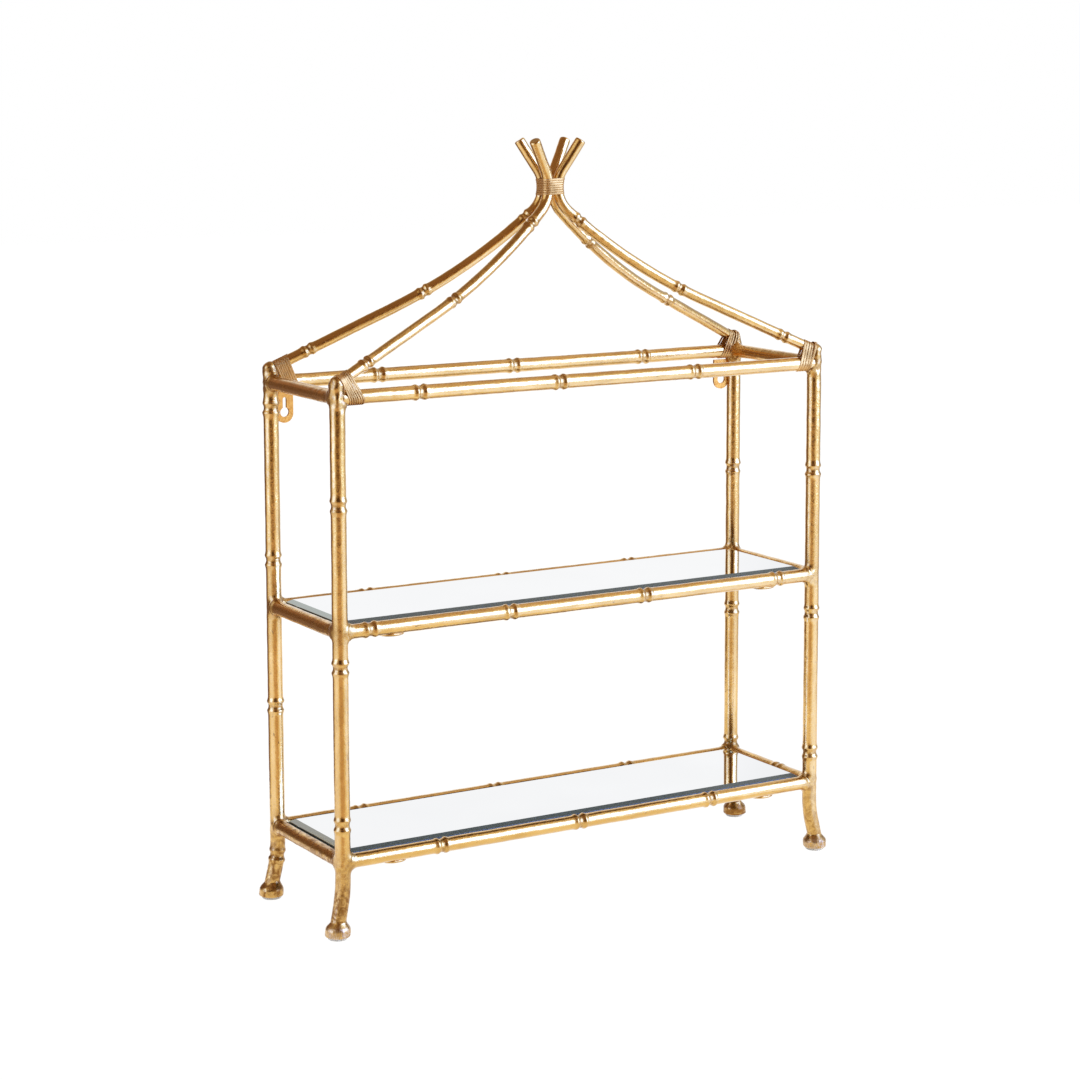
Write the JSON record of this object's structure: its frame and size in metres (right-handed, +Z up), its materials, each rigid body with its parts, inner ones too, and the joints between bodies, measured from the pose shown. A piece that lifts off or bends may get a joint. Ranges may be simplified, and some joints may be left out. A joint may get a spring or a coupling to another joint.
{
  "type": "etagere",
  "caption": "Table-top pagoda etagere of gold-leafed metal bamboo with bevelled mirror shelves, wire lashings, hoof feet and keyhole wall hangers",
  "frame": {"origin": "on the floor under the middle of the four posts", "axes": "+X viewer's right along the long rails, +Y back, +Z up"},
  "size_m": [0.5096, 0.1492, 0.6527],
  "materials": {
    "gilded_metal": "wrinkled gold leaf over welded metal, brown in the hollows",
    "lashing_wire": "dull gilded wire",
    "mirror_glass": "polished, with a bevelled edge",
    "board": "plain brown hardboard",
    "glide_pad": "pale grey, matte",
    "hanger_plate": "flat gold paint"
  },
  "bodies": {
    "frame": {"foot_front_left": "gilded_metal", "foot_front_right": "gilded_metal", "foot_pad_front_left": "glide_pad", "foot_pad_front_right": "glide_pad", "foot_pad_rear_left": "glide_pad", "foot_pad_rear_right": "glide_pad", "foot_rear_left": "gilded_metal", "foot_rear_right": "gilded_metal", "hanger_left": "hanger_plate", "hanger_right": "hanger_plate", "lashing_front_left": "lashing_wire", "lashing_front_right": "lashing_wire", "lashing_rear_left": "lashing_wire", "lashing_rear_right": "lashing_wire", "neck_lashing": "lashing_wire", "post_front_left": "gilded_metal", "post_front_right": "gilded_metal", "post_rear_left": "gilded_metal", "post_rear_right": "gilded_metal", "rail_bottom_front": "gilded_metal", "rail_bottom_left": "gilded_metal", "rail_bottom_rear": "gilded_metal", "rail_bottom_right": "gilded_metal", "rail_middle_front": "gilded_metal", "rail_middle_left": "gilded_metal", "rail_middle_rear": "gilded_metal", "rail_middle_right": "gilded_metal", "rail_top_front": "gilded_metal", "rail_top_left": "gilded_metal", "rail_top_rear": "gilded_metal", "rail_top_right": "gilded_metal", "roof_pole_front_left": "gilded_metal", "roof_pole_front_right": "gilded_metal", "roof_pole_rear_left": "gilded_metal", "roof_pole_rear_right": "gilded_metal", "tab_bottom_front_left": "gilded_metal", "tab_bottom_front_right": "gilded_metal", "tab_bottom_rear_left": "gilded_metal", "tab_bottom_rear_right": "gilded_metal", "tab_middle_front_left": "gilded_metal", "tab_middle_front_right": "gilded_metal", "tab_middle_rear_left": "gilded_metal", "tab_middle_rear_right": "gilded_metal"},
    "shelf_middle": {"mirror_middle": "mirror_glass", "backing_board_middle": "board"},
    "shelf_bottom": {"mirror_bottom": "mirror_glass", "backing_board_bottom": "board"}
  },
  "joints": [
    {"name": "shelf_middle_lift", "type": "slide", "parent": "frame", "child": "shelf_middle", "axis": [0, 0, 1], "range_m": [0, 0.08]},
    {"name": "shelf_bottom_lift", "type": "slide", "parent": "frame", "child": "shelf_bottom", "axis": [0, 0, 1], "range_m": [0, 0.08]}
  ]
}
